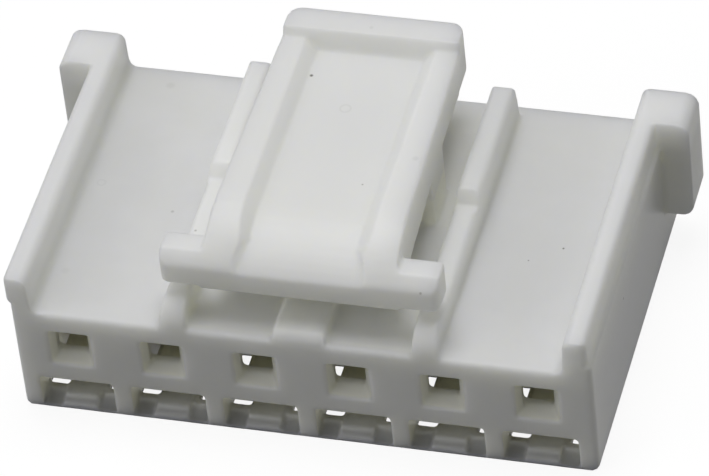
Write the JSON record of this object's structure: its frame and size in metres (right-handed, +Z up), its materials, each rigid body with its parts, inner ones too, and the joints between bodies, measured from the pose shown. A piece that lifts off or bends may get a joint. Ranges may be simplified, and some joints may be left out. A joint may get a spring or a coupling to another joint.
{
  "type": "wire to board connector housing",
  "caption": "Latching receptacle housing that holds crimped wire terminals in a row and plugs onto a board header, with square pin entries and a locking lever on top.",
  "frame": {"origin": "on the underside, in the middle of the row of circuits and of the body's depth", "axes": "+X along the row of circuits, +Y from the mating face towards the wire side, +Z up from the underside to the latch lever"},
  "size_m": [0.0174, 0.0098, 0.0063],
  "materials": {
    "nylon": "satin, as moulded, natural white nylon"
  },
  "bodies": {
    "root": {"housing": "nylon"}
  },
  "joints": []
}
